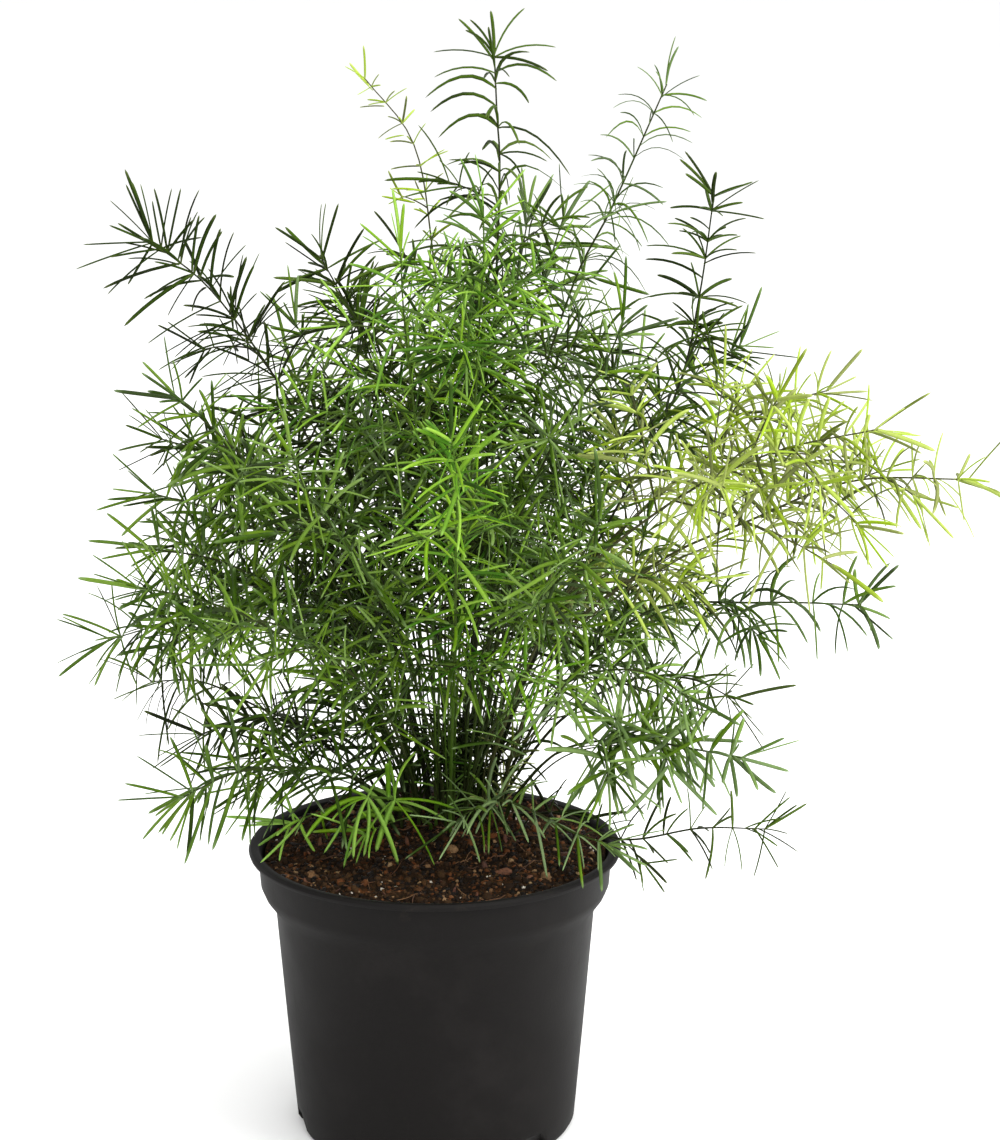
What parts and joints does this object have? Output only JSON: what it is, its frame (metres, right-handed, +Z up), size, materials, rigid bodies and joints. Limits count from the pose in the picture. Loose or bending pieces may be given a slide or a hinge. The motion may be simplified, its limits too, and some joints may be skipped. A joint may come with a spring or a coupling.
{
  "type": "potted asparagus fern",
  "caption": "Open, bushy asparagus fern with wiry arching stems and fine needle-like cladodes, rooted in dark potting soil in a tapered black nursery pot.",
  "frame": {"origin": "middle of the pot's flat underside, on the surface that it stands on", "axes": "+Z up the pot's axis; -Y towards the side the plant shows best; +X to the right seen from there"},
  "size_m": [0.3814, 0.3168, 0.4555],
  "materials": {
    "pot_plastic": "satin black moulded plastic",
    "potting_soil": "damp dark peat with bark fibres and pale perlite specks",
    "foliage_mid_green": "smooth, slightly waxy mid-green plant tissue",
    "foliage_dark_green": "smooth dark green plant tissue",
    "foliage_bright_green": "smooth, slightly waxy bright green plant tissue",
    "foliage_yellow_green": "smooth young yellow-green plant tissue"
  },
  "bodies": {
    "root": {"pot": "pot_plastic", "soil": "potting_soil", "stem_leader": "foliage_dark_green", "stem_pale_shoot": "foliage_yellow_green", "stem_tall_right": "foliage_mid_green", "stem_right_spike": "foliage_dark_green", "stem_left_arm": "foliage_dark_green", "stem_left_star": "foliage_mid_green", "stem_left_mid": "foliage_mid_green", "stem_left_fan": "foliage_mid_green", "stem_left_tip": "foliage_mid_green", "stem_left_thin": "foliage_dark_green", "stem_left_low": "foliage_mid_green", "stem_left_skirt": "foliage_dark_green", "stem_soil_star": "foliage_bright_green", "stem_soil_right": "foliage_mid_green", "stem_right_low": "foliage_dark_green", "stem_far_right": "foliage_yellow_green", "stem_yellow": "foliage_yellow_green", "stem_right_mid": "foliage_mid_green", "stem_right_green": "foliage_mid_green", "stem_right_back": "foliage_dark_green", "stem_upper_left": "foliage_dark_green", "stem_left_shoulder": "foliage_mid_green", "stem_left_crest": "foliage_bright_green", "stem_mid_crest": "foliage_mid_green", "stem_right_crest": "foliage_mid_green", "stem_right_crown": "foliage_mid_green", "stem_yellow_top": "foliage_yellow_green", "stem_left_back": "foliage_dark_green", "stem_left_down": "foliage_mid_green", "stem_front_mid": "foliage_bright_green", "stem_front_right": "foliage_mid_green", "stem_front_left": "foliage_mid_green", "stem_front_fall_left": "foliage_mid_green", "stem_front_fall_right": "foliage_mid_green", "stem_back_mid": "foliage_mid_green", "stem_back_right": "foliage_mid_green", "stem_back_left": "foliage_mid_green", "stem_back_low_right": "foliage_mid_green", "stem_back_low_left": "foliage_mid_green", "stem_crest_front": "foliage_bright_green", "stem_crest_back": "foliage_mid_green"}
  },
  "joints": []
}
